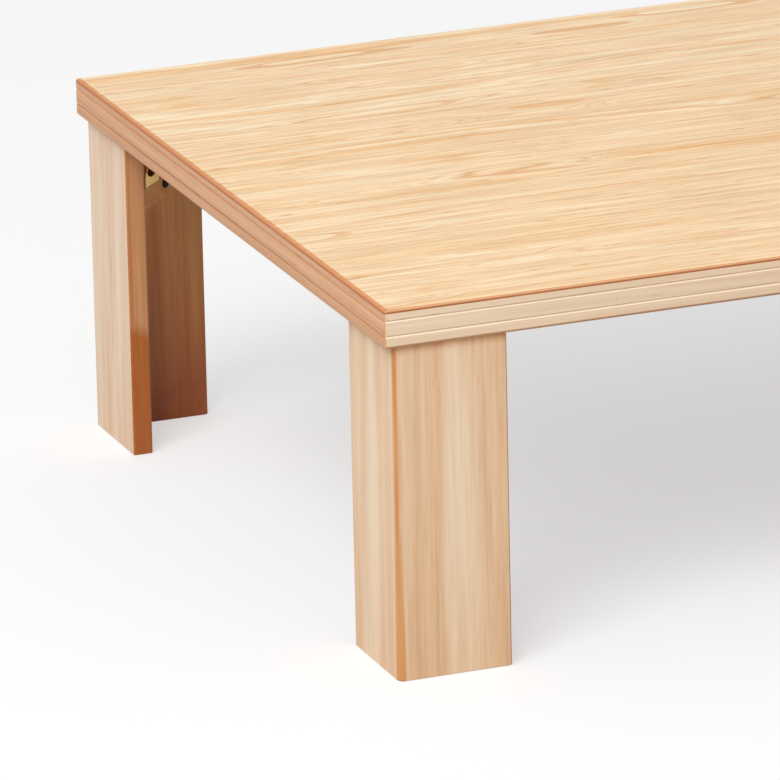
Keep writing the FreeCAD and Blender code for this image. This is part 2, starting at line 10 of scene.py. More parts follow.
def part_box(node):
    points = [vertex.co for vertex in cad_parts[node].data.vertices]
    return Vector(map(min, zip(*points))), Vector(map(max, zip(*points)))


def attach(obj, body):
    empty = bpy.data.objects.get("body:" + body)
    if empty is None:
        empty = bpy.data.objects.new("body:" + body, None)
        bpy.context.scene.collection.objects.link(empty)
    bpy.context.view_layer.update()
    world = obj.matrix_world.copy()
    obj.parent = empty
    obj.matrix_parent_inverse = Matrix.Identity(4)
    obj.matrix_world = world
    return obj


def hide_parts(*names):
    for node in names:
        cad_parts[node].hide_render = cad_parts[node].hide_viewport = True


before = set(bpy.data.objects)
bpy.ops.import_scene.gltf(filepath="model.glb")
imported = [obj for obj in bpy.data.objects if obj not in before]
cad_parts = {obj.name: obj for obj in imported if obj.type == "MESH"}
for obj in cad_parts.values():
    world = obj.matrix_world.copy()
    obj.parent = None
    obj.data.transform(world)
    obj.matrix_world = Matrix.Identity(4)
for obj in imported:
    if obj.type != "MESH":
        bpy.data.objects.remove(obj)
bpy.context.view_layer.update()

bl_info = {
    "name": "Folding low table",
    "version": (1, 0, 0),
    "blender": (4, 5, 0),
    "location": "3D View > Sidebar > Low Table",
    "description": "Builds the finished pieces of a folding low table over its packed frame",
    "category": "Object",
}

MM = 0.001
ROOT_HALF = math.sqrt(0.5)

# Corner of the table: turn of its leg about Z, with the leg's two boards along its own X and Y.
CORNERS = {"front_left": 0, "front_right": 90, "back_right": 180, "back_left": 270}

# Edge moulding: turn about Z from the front of the table to its own side.
EDGES = {"front": 0, "right": 90, "back": 180, "left": 270}

TOP_LOW, TOP_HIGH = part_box("top_panel")
EDGE_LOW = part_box("edge_front")[0].z

# The boards of a leg meet in a rounded mitre, and each one's box stops short of the corner that they make,
# so the corner takes one side from each box.
END_LOW, END_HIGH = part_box("end_board_front_left")
SIDE_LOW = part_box("side_board_front_left")[0]
LEG_X, LEG_Y, LEG_TOP = -END_LOW.x, -SIDE_LOW.y, END_HIGH.z


# Settings.

def tone(steps):
    """Linear colour of a colour written in screen steps from 0 to 255."""
    shares = [step / 255 for step in steps]
    return [share / 12.92 if share <= 0.04045 else ((share + 0.055) / 1.055) ** 2.4 for share in shares]


def length(name, default, description):
    """Property that holds a length."""
    return bpy.props.FloatProperty(
        name=name, description=description, default=default, min=0.0,
        subtype="DISTANCE", unit="LENGTH", precision=4)


def colour(name, steps, description):
    """Property that holds a colour, with its default in screen steps."""
    return bpy.props.FloatVectorProperty(
        name=name, description=description, default=tone(steps), size=3, min=0.0, max=1.0,
        subtype="COLOR")


def pale_tone(part, steps):
    """Property that holds the pale tone of a wood."""
    return colour(f"{part.capitalize()}, pale", steps, f"Pale streaks of the {part}")


def tan_tone(part, steps):
    """Property that holds the tan tone of a wood."""
    return colour(f"{part.capitalize()}, tan", steps, f"Tan streaks of the {part}")


class TopSizes(bpy.types.PropertyGroup):
    """Sizes of the table top that the finish of its edges depends on."""

    corner_round: length("Corner round", 3 * MM, "Upright round at the corners of the top")
    face_ease: length("Face ease", 2.5 * MM, "Round on the upper edge of the top sheet")
    lower_ease: length("Lower ease", 2.5 * MM, "Round on the lower edge of the mouldings")
    groove_width: length("Groove width", 2.2 * MM, "Mouth of each groove in the mouldings")
    groove_depth: length("Groove depth", 1.4 * MM, "Depth of each groove in the mouldings")
    groove_lip: length("Groove lip", 0.4 * MM, "Round on the lips of the grooves")
    seam: length("Mitre seam", 0.10 * MM, "Depth of the fine line where two mouldings meet")
    upper_groove: length("Upper groove", 9.5 * MM, "Upper face to the middle of the upper groove")
    lower_groove: length("Lower groove", 22.6 * MM, "Upper face to the middle of the lower groove")


class LegSizes(bpy.types.PropertyGroup):
    """Sizes of the leg boards and corner blocks."""

    thickness: length("Board thickness", END_HIGH.x - END_LOW.x, "Thickness of the leg boards")
    width: length("Board width", END_HIGH.y - SIDE_LOW.y, "Outer width of the leg boards")
    corner_round: length("Corner round", 6 * MM, "Round on the outer corner of a leg")
    edge_ease: length("Edge ease", 2 * MM, "Round on the free edges of the boards")
    foot_ease: length("Foot ease", 1 * MM, "Round on the lower ends of the boards")
    block_nose: length("Block nose", 4 * MM, "Blunt ends of the corner block")
    block_ease: length("Block ease", 0.6 * MM, "Round on the edges of the corner block")


class Colours(bpy.types.PropertyGroup):
    """Colours of the finishes: a pale and a tan one for each wood, and two for each steel."""

    veneer_pale: pale_tone("top veneer", (255, 236, 200))
    veneer_tan: tan_tone("top veneer", (238, 183, 119))
    rim_pale: pale_tone("long rims", (252, 212, 172))
    rim_tan: tan_tone("long rims", (243, 192, 146))
    joint_pale: pale_tone("long rim joints", (196, 122, 64))
    joint_tan: tan_tone("long rim joints", (168, 96, 46))
    end_rim_pale: pale_tone("end rims", (226, 148, 76))
    end_rim_tan: tan_tone("end rims", (204, 122, 52))
    end_joint_pale: pale_tone("end rim joints", (186, 102, 38))
    end_joint_tan: tan_tone("end rim joints", (160, 82, 24))

    side_pale: pale_tone("long mouldings", (245, 219, 187))
    side_tan: tan_tone("long mouldings", (231, 198, 164))
    # Painted highlight on the groove sides of the long mouldings that face up.
    side_lip_pale: pale_tone("long groove lips", (255, 243, 224))
    side_lip_tan: tan_tone("long groove lips", (250, 228, 200))
    # Painted shade on the lower ease of the long mouldings where it faces down, and at their corners.
    side_foot_pale: pale_tone("long moulding feet", (206, 152, 108))
    side_foot_tan: tan_tone("long moulding feet", (182, 126, 84))
    end_pale: pale_tone("end mouldings", (232, 180, 133))
    end_tan: tan_tone("end mouldings", (206, 144, 97))
    # Painted shade on the lower band of the end mouldings.
    end_low_pale: pale_tone("lower end mouldings", (222, 167, 117))
    end_low_tan: tan_tone("lower end mouldings", (196, 132, 84))
    # Painted highlight on the groove sides of the end mouldings that face up.
    end_lip_pale: pale_tone("end groove lips", (234, 183, 136))
    end_lip_tan: tan_tone("end groove lips", (210, 150, 102))
    # Painted shade on the lower ease of the end mouldings where it faces down.
    end_foot_pale: pale_tone("end moulding feet", (196, 140, 100))
    end_foot_tan: tan_tone("end moulding feet", (174, 116, 78))

    leg_pale: pale_tone("front leg faces", (243, 216, 184))
    leg_tan: tan_tone("front leg faces", (227, 179, 132))
    leg_back_pale: pale_tone("back leg faces", (248, 226, 203))
    leg_back_tan: tan_tone("back leg faces", (234, 195, 158))
    # Tone of the rounded leg corners, also painted as shadow at the top of the legs and as shade towards
    # both ends.
    cut_pale: pale_tone("rounded leg corners", (222, 157, 90))
    cut_tan: tan_tone("rounded leg corners", (187, 113, 49))
    strip_pale: pale_tone("free board edges", (219, 162, 111))
    strip_tan: tan_tone("free board edges", (198, 133, 85))
    # Painted shadow on the lower part of the free board edges, below a slanted border.
    strip_foot_pale: pale_tone("foot of the free board edges", (193, 111, 40))
    strip_foot_tan: tan_tone("foot of the free board edges", (173, 91, 26))
    inner_pale: pale_tone("inner leg faces", (255, 206, 130))
    inner_tan: tan_tone("inner leg faces", (230, 140, 72))
    # Painted shade at the foot of the inner leg faces.
    inner_foot_pale: pale_tone("foot of the inner leg faces", (182, 100, 46))
    inner_foot_tan: tan_tone("foot of the inner leg faces", (154, 76, 30))
    block_pale: pale_tone("corner blocks", (255, 194, 112))
    block_tan: tan_tone("corner blocks", (242, 150, 74))

    core_pale: pale_tone("frame inside the top", (226, 196, 150))
    core_tan: tan_tone("frame inside the top", (196, 158, 108))
    underside: colour("Underside", (112, 62, 40), "Board under the top")

    zinc: colour("Yellow zinc", (222, 190, 104), "Plated steel of the hinges")
    zinc_drift: colour("Yellow zinc, drift", (206, 150, 120), "Tint that drifts over the plating")
    spring: colour("Spring steel", (138, 140, 146), "Leaf springs")
    spring_drift: colour("Spring steel, drift", (98, 96, 104), "Tint that drifts over the leaf springs")
    bright: colour("Bright steel", (208, 208, 206), "Pins, bushes, rivets and screws")
    bright_drift: colour("Bright steel, drift", (178, 176, 172), "Tint that drifts over the bright steel")
    black: colour("Black steel", (14, 12, 12), "Blackened screws")
    black_worn: colour("Black steel, worn", (34, 31, 30), "High spots of the blackened screws")


class TableSettings(bpy.types.PropertyGroup):
    """All settings of the table's looks."""

    top: bpy.props.PointerProperty(type=TopSizes, name="Top", description="Sizes of the top")
    legs: bpy.props.PointerProperty(type=LegSizes, name="Legs", description="Sizes of the legs")
    colours: bpy.props.PointerProperty(type=Colours, name="Colours", description="Finishes")


def settings():
    """Settings that the scene holds."""
    return bpy.context.scene.low_table


# Nodes of the finishes.

# Places of the colour sockets on a Mix node.
MIX_SHARE, MIX_FIRST, MIX_SECOND, MIX_RESULT = 0, 6, 7, 2


def feed(tree, socket, value):
    """Join a socket to another one, or set its value."""
    if isinstance(value, bpy.types.NodeSocket):
        tree.links.new(value, socket)
    else:
        socket.default_value = value


def connect(tree, node, **sockets):
    """Set or join a node's inputs by name."""
    for name, value in sockets.items():
        feed(tree, node.inputs[name.replace("_", " ")], value)


def add_node(tree, kind, options=None, **sockets):
    """Add a node, set its options, and set or join its inputs by name."""
    node = tree.nodes.new(kind)
    for option, value in (options or {}).items():
        setattr(node, option, value)
    connect(tree, node, **sockets)
    return node


def calculate(tree, operation, *values):
    """Result of a Math node."""
    node = add_node(tree, "ShaderNodeMath", {"operation": operation})
    for socket, value in zip(node.inputs, values):
        feed(tree, socket, value)
    return node.outputs[0]


def larger(tree, first, second):
    """The larger of two shares."""
    return calculate(tree, "MAXIMUM", first, second)


def times(tree, first, second):
    """Product of two shares."""
    return calculate(tree, "MULTIPLY", first, second)


def remap(tree, value, low, high, to_low=0.0, to_high=1.0):
    """Value taken from one range to another, held at the ends."""
    node = add_node(tree, "ShaderNodeMapRange", Value=value, From_Min=low, From_Max=high,
                    To_Min=to_low, To_Max=to_high)
    return node.outputs["Result"]


def fade(tree, value, full, none, share=1.0):
    """Share that is full at one value and gone at another, and held past both."""
    return remap(tree, value, full, none, share, 0.0)


def opaque(value):
    """Colour for a socket: another socket as it is, or three numbers with a full alpha."""
    return value if isinstance(value, bpy.types.NodeSocket) else (*value, 1.0)


def mix_colours(tree, share, first, second):
    """Colour between two colours."""
    node = add_node(tree, "ShaderNodeMix", {"data_type": "RGBA"})
    feed(tree, node.inputs[MIX_SHARE], share)
    feed(tree, node.inputs[MIX_FIRST], opaque(first))
    feed(tree, node.inputs[MIX_SECOND], opaque(second))
    return node.outputs[MIX_RESULT]


def noise(tree, vector, counts, detail=2.0, roughness=0.5, distortion=0.0, shift=(0.0, 0.0, 0.0)):
    """Value of a noise with its counts per metre along the axes of a vector, and shifted."""
    scaled = add_node(tree, "ShaderNodeMapping", Vector=vector, Scale=counts, Location=shift).outputs[0]
    node = add_node(tree, "ShaderNodeTexNoise", Vector=scaled, Scale=1.0, Detail=detail,
                    Roughness=roughness, Distortion=distortion)
    return node.outputs[0]


def object_place(tree):
    """Object coordinates, which are the table's own."""
    return add_node(tree, "ShaderNodeTexCoord").outputs["Object"]


def split(tree, vector):
    """The numbers of a vector, by the names of the axes."""
    return add_node(tree, "ShaderNodeSeparateXYZ", Vector=vector).outputs


def inward(tree, reach, number):
    """Distance in from the faces at plus and minus a reach."""
    return calculate(tree, "SUBTRACT", reach, calculate(tree, "ABSOLUTE", number))


def new_finish(name):
    """New material with its tree and its shader."""
    material = bpy.data.materials.new(name)
    material.use_nodes = True
    tree = material.node_tree
    shader = next(node for node in tree.nodes if node.type == "BSDF_PRINCIPLED")
    return material, tree, shader


def set_bump(tree, shader, height, strength, distance):
    """Join a height to the shader as a fine bump."""
    bump = add_node(tree, "ShaderNodeBump", Strength=strength, Distance=distance, Height=height)
    connect(tree, shader, Normal=bump.outputs[0])


# Places where the wood has other tones, and places where shade is painted.

def top_edge_mask(tree):
    """Share of the end rims' colour on the veneer, fading in from the eased ends of the top."""
    at = split(tree, object_place(tree))
    return fade(tree, inward(tree, TOP_HIGH.x, at["X"]), full=3.4 * MM, none=4.6 * MM, share=0.85)


def rim_joint_mask(tree):
    """One at the foot of the top sheet's edge, where it meets the mouldings, and none on its round."""
    at = split(tree, object_place(tree))
    return fade(tree, at["Z"], full=TOP_LOW.z + 1.1 * MM, none=TOP_LOW.z + 2.8 * MM)


def side_foot_shade_mask(tree):
    """Painted shade: one on the eased lower edge of the long mouldings, and over half of one at their
    corners.
    """
    at = split(tree, object_place(tree))
    foot = fade(tree, at["Z"], full=EDGE_LOW + 1.8 * MM, none=EDGE_LOW + 2.9 * MM)
    corner = fade(tree, inward(tree, TOP_HIGH.x, at["X"]), full=1.2 * MM, none=2.4 * MM, share=0.6)
    return larger(tree, foot, corner)


def end_low_shade_mask(tree):
    """Painted shade: one on the part of the end mouldings below the middle of their lower groove."""
    at = split(tree, object_place(tree))
    middle = TOP_HIGH.z - settings().top.lower_groove
    return fade(tree, at["Z"], full=middle - 0.3 * MM, none=middle + 0.3 * MM)


# Fall of the border of the painted shadow on the boards' free edges for each length in from the outer
# face.
STRIP_SLANT = 0.6


def strip_foot_shadow_mask(tree):
    """Painted shadow low down on the boards' free edges, up to a slanted border, and the same tone along
    their outer ease.
    """
    at = split(tree, object_place(tree))
    from_face = calculate(tree, "MINIMUM", inward(tree, LEG_X, at["X"]), inward(tree, LEG_Y, at["Y"]))
    border = calculate(tree, "MULTIPLY_ADD", from_face, STRIP_SLANT, at["Z"])
    # Painted shadow below the slanted border.
    low = fade(tree, border, full=114 * MM, none=128 * MM)
    ease = fade(tree, from_face, full=2.4 * MM, none=5.0 * MM, share=0.6)
    return larger(tree, low, ease)


# Patches on inner faces, which make the border of their painted shade uneven, and on leg corners: counts
# per metre along the table's axes, and their reach.
INNER_PATCHES, INNER_REACH = (30.0, 30.0, 6.0), 60 * MM
CORNER_PATCHES, CORNER_REACH = (20.0, 20.0, 5.0), 5 * MM

# How much narrower the tone of the legs' corners gets in a metre of height.
CORNER_TAPER = 9 * MM

# Height of the palest part of the leg faces, where there is no painted shade, and how far it reaches, in
# leg heights.
PALEST_HEIGHT, PALEST_REACH = 0.6, 0.14


def inner_foot_shade_mask(tree):
    """Painted shade: one at the foot of the bare inner faces, and none at their top."""
    place = object_place(tree)
    uneven = noise(tree, place, INNER_PATCHES)
    height = calculate(tree, "MULTIPLY_ADD", uneven, INNER_REACH, split(tree, place)["Z"])
    return fade(tree, height, full=60 * MM, none=270 * MM)


def leg_corner_and_shade_mask(tree):
    """One along the rounded outer corner of each leg, wider in places, with painted shadow at the top
    under the moulding and a little painted shade towards both ends.
    """
    place = object_place(tree)
    at = split(tree, place)
    away = calculate(tree, "ADD", inward(tree, LEG_X, at["X"]), inward(tree, LEG_Y, at["Y"]))
    core = fade(tree, away, full=3.6 * MM, none=4.6 * MM, share=0.95)
    uneven = noise(tree, place, CORNER_PATCHES, detail=3.0)
    spread = calculate(tree, "MULTIPLY_ADD", uneven, CORNER_REACH, away)
    spread = calculate(tree, "MULTIPLY_ADD", at["Z"], CORNER_TAPER, spread)
    corner = larger(tree, core, fade(tree, spread, full=7.0 * MM, none=9.6 * MM, share=0.9))
    # Painted shadow under the moulding at the top of the leg.
    shadow_under_moulding = fade(tree, at["Z"], full=LEG_TOP - 2.0 * MM, none=LEG_TOP - 9.0 * MM, share=0.6)
    # Painted shade that grows towards both ends of the leg.
    palest = PALEST_HEIGHT * LEG_TOP
    from_palest = calculate(tree, "ABSOLUTE", calculate(tree, "SUBTRACT", at["Z"], palest))
    shade_toward_ends = fade(tree, from_palest, full=palest, none=PALEST_REACH * LEG_TOP, share=0.17)
    return larger(tree, larger(tree, corner, shadow_under_moulding), shade_toward_ends)


# Wood.

# Rows of the turn that takes table axes to grain axes: along the grain, across it, into the wood.
GRAIN_TURNS = {
    "X": Matrix.Identity(3),
    "Y": Matrix(((0, 1, 0), (-1, 0, 0), (0, 0, 1))),
    "X_edge": Matrix(((1, 0, 0), (0, 0.6, 0.8), (0, -0.8, 0.6))),
    "Y_edge": Matrix(((0, 1, 0), (0.6, 0, 0.8), (0.8, 0, -0.6))),
    "Z": Matrix(((0, 0, 1), (ROOT_HALF, ROOT_HALF, 0), (-ROOT_HALF, ROOT_HALF, 0))),
}

# How a wood's grain runs. Counts are per metre, along the grain and then across it.
PLAIN_GRAIN = {
    "rings": 90.0,  # growth rings across the grain
    "sway": 14.0,  # rings by which the slow wander moves them
    "ripple": 6.0,  # rings by which the quick wander moves them
    "streak": (5.0, 210.0),  # count of the long streaks
    "dash": (14.0, 420.0),  # count of the flecks
    "eyes": 0.0,  # rings that close round each eye
    "shade": 0.0,  # share by which the flecks darken and lighten
    "cloud": 0.28,  # weight of the broad clouds
    "contrast": 1.0,  # steepness from tan to pale
    "pores": 0.35,  # depth of tone of the short pores
    "marks": 0.0,  # depth of tone of the longer marks
    "roughness": 0.42,  # of the lacquer
    "specular": 0.5,  # of the lacquer
    "shift": (0.0, 0.0, 0.0),  # move of the figure, along the grain axes
}
VENEER_GRAIN = {
    **PLAIN_GRAIN, "rings": 70.0, "streak": (4.0, 210.0), "dash": (10.0, 230.0), "eyes": 3.2,
    "shade": 0.11, "cloud": 0.14, "contrast": 1.02, "pores": 0.5, "marks": 0.6, "roughness": 0.45,
    "specular": 0.3}
RIM_GRAIN = {**PLAIN_GRAIN, "rings": 160.0, "sway": 3.0, "ripple": 2.0, "pores": 0.2, "roughness": 0.36}
MOULDING_GRAIN = {
    **PLAIN_GRAIN, "rings": 220.0, "sway": 5.0, "ripple": 3.0, "streak": (3.0, 420.0),
    "dash": (8.0, 520.0), "shade": 0.03}
LEG_GRAIN = {
    **PLAIN_GRAIN, "rings": 32.0, "sway": 2.5, "ripple": 1.5, "streak": (2.5, 120.0),
    "dash": (9.0, 420.0), "shade": 0.04, "contrast": 1.4, "pores": 0.25, "marks": 0.05, "roughness": 0.45}
FACE_GRAIN = {**LEG_GRAIN, "shift": (0.0, -0.0141, 0.0141)}
INSIDE_GRAIN = {**LEG_GRAIN, "shift": (0.4, 0.0, 0.0)}
BLOCK_GRAIN = {**PLAIN_GRAIN, "rings": 120.0, "sway": 3.0, "roughness": 0.55}
CORE_GRAIN = {**PLAIN_GRAIN, "rings": 120.0, "roughness": 0.62}
UNDERSIDE_GRAIN = {**PLAIN_GRAIN, "rings": 80.0, "sway": 5.0, "pores": 0.2, "roughness": 0.5}

# Layers that all woods share: counts per metre along the grain, across it and into the wood.
WANDER = (0.8, 6.0, 1.0)
WAVER = (1.9, 16.0, 2.0)
EYE, EYE_SHIFT = (2.6, 22.0, 3.0), (2.3, 5.1, 0.0)
FIBRE = (14.0, 1100.0, 300.0)
CLOUD = (1.2, 9.0, 4.0)
PORE = (45.0, 620.0, 200.0)
MARK = (32.0, 240.0, 80.0)
STREAK_DEPTH, FLECK_DEPTH = 20.0, 60.0

# Weights of the layers in the figure, and the half width of the figure's range.
LAYER_WEIGHTS = {"bands": 0.38, "streaks": 0.24, "flecks": 0.16, "fibres": 0.06}
FIGURE_HALF = 0.15

# Values of a layer at which something starts and is full.
EYE_RISE = (0.59, 0.73)
EYE_BRIM = (0.60, 0.64)
EYE_HEART = (0.73, 0.68)
HEART_BANDS = (0.47, 0.36)
PORE_RANGE = (0.63, 0.74)
PORE_BANDS = (0.62, 0.40)
MARK_RANGE = (0.68, 0.75)

# Values between which most of a noise lies.
NOISE_SPAN = (0.3, 0.7)

# Depth of tone in an eye's brim, and what a pore leaves of the tan tone's red, green and blue.
BRIM_TONE = 0.5
PORE_TONE = (0.82, 0.66, 0.50)

# What tan wood, pale wood and pores add to the roughness.
TAN_ROUGHNESS, PALE_ROUGHNESS, PORE_ROUGHNESS = 0.06, -0.03, 0.12

# Bump of the wood: how high the fibres stand, how deep the pores go, and the scale of both.
FIBRE_HEIGHT, PORE_HEIGHT = 0.3, -0.7
WOOD_BUMP = {"strength": 0.18, "distance": 0.2 * MM}


def grain_space(tree, grain, shift):
    """Object coordinates turned so that X runs along the grain, and then shifted."""
    turn = GRAIN_TURNS[grain].to_euler("XYZ")
    node = add_node(tree, "ShaderNodeMapping", Vector=object_place(tree), Rotation=turn, Location=shift)
    return node.outputs[0]


def wood_layers(tree, space, run):
    """Layers of a wood's figure, and the swell that its rings close round where it has eyes."""
    layers = {}
    across = split(tree, space)["Y"]
    wander = noise(tree, space, WANDER, roughness=0.45)
    waver = noise(tree, space, WAVER)
    drift = calculate(tree, "MULTIPLY_ADD", wander, run["sway"], times(tree, waver, run["ripple"]))
    if run["eyes"]:
        layers["swell"] = noise(tree, space, EYE, detail=1.0, shift=EYE_SHIFT)
        rise = remap(tree, layers["swell"], *EYE_RISE)
        drift = calculate(tree, "MULTIPLY_ADD", rise, run["eyes"], drift)
    ring = calculate(tree, "MULTIPLY_ADD", across, run["rings"], drift)
    layers["bands"] = add_node(tree, "ShaderNodeTexNoise", {"noise_dimensions": "1D"}, W=ring, Scale=1.0,
                               Detail=3.0, Roughness=0.6).outputs[0]
    streak, dash = (*run["streak"], STREAK_DEPTH), (*run["dash"], FLECK_DEPTH)
    layers["streaks"] = noise(tree, space, streak, detail=4.0, roughness=0.65)
    layers["flecks"] = noise(tree, space, dash, detail=3.0, roughness=0.6)
    layers["fibres"] = noise(tree, space, FIBRE, roughness=0.6)
    layers["clouds"] = noise(tree, space, CLOUD)
    return layers


def wood_figure(tree, layers, run):
    """Share of the pale tone: the layers by their weights, spread over the figure's range."""
    figure, middle = 0.0, 0.0
    for layer, weight in {**LAYER_WEIGHTS, "clouds": run["cloud"]}.items():
        figure = calculate(tree, "MULTIPLY_ADD", layers[layer], weight, figure)
        middle += 0.5 * weight
    half_range = FIGURE_HALF / run["contrast"]
    return remap(tree, figure, middle - half_range, middle + half_range)


def wood_pores(tree, space, layers, run):
    """Short pores, and the depth of tone of pores, longer marks and the brims of eyes together."""
    pore = remap(tree, noise(tree, space, PORE, detail=1.0), *PORE_RANGE)
    early = remap(tree, layers["bands"], *PORE_BANDS)
    depth = times(tree, times(tree, pore, early), run["pores"])
    if run["marks"]:
        mark = remap(tree, noise(tree, space, MARK, detail=1.0), *MARK_RANGE)
        depth = larger(tree, depth, times(tree, mark, run["marks"]))
    if run["eyes"]:
        outer = remap(tree, layers["swell"], *EYE_BRIM)
        inner = remap(tree, layers["swell"], *EYE_HEART, 0.0, BRIM_TONE)
        dark_bands = remap(tree, layers["bands"], *HEART_BANDS)
        depth = larger(tree, depth, times(tree, times(tree, outer, inner), dark_bands))
    return pore, depth


def wood(name, grain, run, pale, tan, edge_and_shade_name=None, mask=None):
    """Lacquered wood: growth rings that wander, streaks, flecks, fibres and short dark pores."""
    material, tree, shader = new_finish(name)
    space = grain_space(tree, grain, run["shift"])
    layers = wood_layers(tree, space, run)
    share = wood_figure(tree, layers, run)
    surface = mix_colours(tree, share, tan, pale)
    # The second tone through the mask is an edge or joint tone on some woods and painted shade on others.
    if mask is not None:
        edge_and_shade_pale, edge_and_shade_tan = tones(edge_and_shade_name)
        surface = mix_colours(tree, mask(tree), surface, mix_colours(tree, share, edge_and_shade_tan, edge_and_shade_pale))
    pore, depth = wood_pores(tree, space, layers, run)
    deep = tuple(channel * left for channel, left in zip(tan, PORE_TONE))
    surface = mix_colours(tree, depth, surface, deep)
    if run["shade"]:
        light = remap(tree, layers["flecks"], *NOISE_SPAN, 1.0 - run["shade"], 1.0 + run["shade"])
        scale = {"operation": "SCALE"}
        surface = add_node(tree, "ShaderNodeVectorMath", scale, Vector=surface, Scale=light).outputs[0]

    rough_tan, rough_pale = run["roughness"] + TAN_ROUGHNESS, run["roughness"] + PALE_ROUGHNESS
    gloss = remap(tree, share, 0.0, 1.0, rough_tan, rough_pale)
    roughness = calculate(tree, "MULTIPLY_ADD", pore, PORE_ROUGHNESS, gloss)
    connect(tree, shader, Base_Color=surface, Roughness=roughness, Specular_IOR_Level=run["specular"])
    sunk = times(tree, pore, PORE_HEIGHT)
    height = calculate(tree, "MULTIPLY_ADD", layers["fibres"], FIBRE_HEIGHT, sunk)
    set_bump(tree, shader, height, **WOOD_BUMP)
    return material


# Steel: counts per metre of its drifting tint, rubbing marks, fine grain and worn spots.
STEEL_DRIFT = (90.0, 90.0, 90.0)
STEEL_RUBBING = (340.0, 340.0, 340.0)
STEEL_GRAIN = (2400.0, 2400.0, 900.0)
BLACK_WEAR = (420.0, 420.0, 420.0)

# Values of the drift and the wear at which the other colour starts and is full, and its largest share.
STEEL_DRIFT_RANGE, BLACK_WEAR_RANGE = (0.35, 0.65), (0.45, 0.75)
STEEL_SHIMMER = 0.5

# What rubbing takes off a steel's roughness and adds to it, and the ends of black steel's.
RUBBED_LESS, RUBBED_MORE = -0.07, 0.10
BLACK_ROUGHNESS = (0.50, 0.66)
BLACK_SPECULAR = 0.25
STEEL_BUMP = {"strength": 0.12, "distance": 0.1 * MM}
BLACK_BUMP = {"strength": 0.15, "distance": 0.1 * MM}


def steel(name, base, tint, roughness):
    """Plated or plain pressed steel with drifting colour, rubbing marks and a fine grain."""
    material, tree, shader = new_finish(name)
    place = object_place(tree)
    drift = noise(tree, place, STEEL_DRIFT, detail=3.0, distortion=0.6)
    rubbed = noise(tree, place, STEEL_RUBBING, detail=4.0, roughness=0.7)
    share = times(tree, remap(tree, drift, *STEEL_DRIFT_RANGE), STEEL_SHIMMER)
    surface = mix_colours(tree, share, base, tint)
    gloss = remap(tree, rubbed, *NOISE_SPAN, roughness + RUBBED_LESS, roughness + RUBBED_MORE)
    connect(tree, shader, Base_Color=surface, Metallic=1.0, Roughness=gloss)
    set_bump(tree, shader, noise(tree, place, STEEL_GRAIN), **STEEL_BUMP)
    return material


def black_steel(name, base, high_spots):
    """Blackened screw heads with a soft sheen and worn high spots."""
    material, tree, shader = new_finish(name)
    wear = noise(tree, object_place(tree), BLACK_WEAR, detail=4.0, roughness=0.65)
    surface = mix_colours(tree, remap(tree, wear, *BLACK_WEAR_RANGE), base, high_spots)
    gloss = remap(tree, wear, *NOISE_SPAN, *BLACK_ROUGHNESS)
    connect(tree, shader, Base_Color=surface, Roughness=gloss, Specular_IOR_Level=BLACK_SPECULAR)
    set_bump(tree, shader, wear, **BLACK_BUMP)
    return material


# Finishes by name.

# Woods: direction of the grain, how it runs and name of the tones, then the tones and place of a second
# tone: edge and joint tones on some woods, painted shade on others.
WOODS = {
    "top_veneer": ("X", VENEER_GRAIN, "veneer", "end_rim", top_edge_mask),
    "rim_X": ("X", RIM_GRAIN, "rim", "joint", rim_joint_mask),
    "rim_Y": ("Y", RIM_GRAIN, "end_rim", "end_joint", rim_joint_mask),
    "side_moulding": ("X_edge", MOULDING_GRAIN, "side", "side_foot", side_foot_shade_mask),
    "side_lip": ("X_edge", MOULDING_GRAIN, "side_lip"),
    "side_foot": ("X_edge", MOULDING_GRAIN, "side_foot"),
    "end_moulding": ("Y_edge", MOULDING_GRAIN, "end", "end_low", end_low_shade_mask),
    "end_lip": ("Y_edge", MOULDING_GRAIN, "end_lip"),
    "end_foot": ("Y_edge", MOULDING_GRAIN, "end_foot"),
    "front_leg_face": ("Z", FACE_GRAIN, "leg", "cut", leg_corner_and_shade_mask),
    "back_leg_face": ("Z", FACE_GRAIN, "leg_back", "cut", leg_corner_and_shade_mask),
    "board_edge": ("Z", LEG_GRAIN, "strip", "strip_foot", strip_foot_shadow_mask),
    "leg_inside": ("Z", INSIDE_GRAIN, "inner", "inner_foot", inner_foot_shade_mask),
    "block_wood": ("X_edge", BLOCK_GRAIN, "block"),
    "core_wood": ("Y", CORE_GRAIN, "core"),
}

# Grooves: direction of the grain, name of the moulding's tones, and the share of light that is left.
GROOVES = {
    "side_groove": ("X_edge", "side", 0.94),
    "end_groove": ("Y_edge", "end", 0.82),
}

# Powers of that share for red, green and blue, so that a groove is warmer as it darkens.
GROOVE_POWERS = (1.0, 1.5, 2.0)

# Shares of the underside's colour in its pale and its tan streaks.
UNDERSIDE_PALE, UNDERSIDE_TAN = 1.25, 0.75

# Steels: name of the colours, and the roughness.
STEELS = {
    "gold_zinc_steel": ("zinc", 0.30),
    "spring_steel": ("spring", 0.34),
    "bright_steel": ("bright", 0.26),
}

FINISHES = {}


def setting_colour(name):
    """Colour that the settings hold under a name."""
    return tuple(getattr(settings().colours, name))


def tones(name):
    """Pale and tan tone of a wood."""
    return setting_colour(f"{name}_pale"), setting_colour(f"{name}_tan")


def darker(shade, share):
    """Shade of the same wood down in a groove."""
    return tuple(channel * share ** power for channel, power in zip(shade, GROOVE_POWERS))


def finish(name):
    """Finish by name, made at its first use."""
    if name not in FINISHES:
        FINISHES[name] = make_finish(name)
    return FINISHES[name]


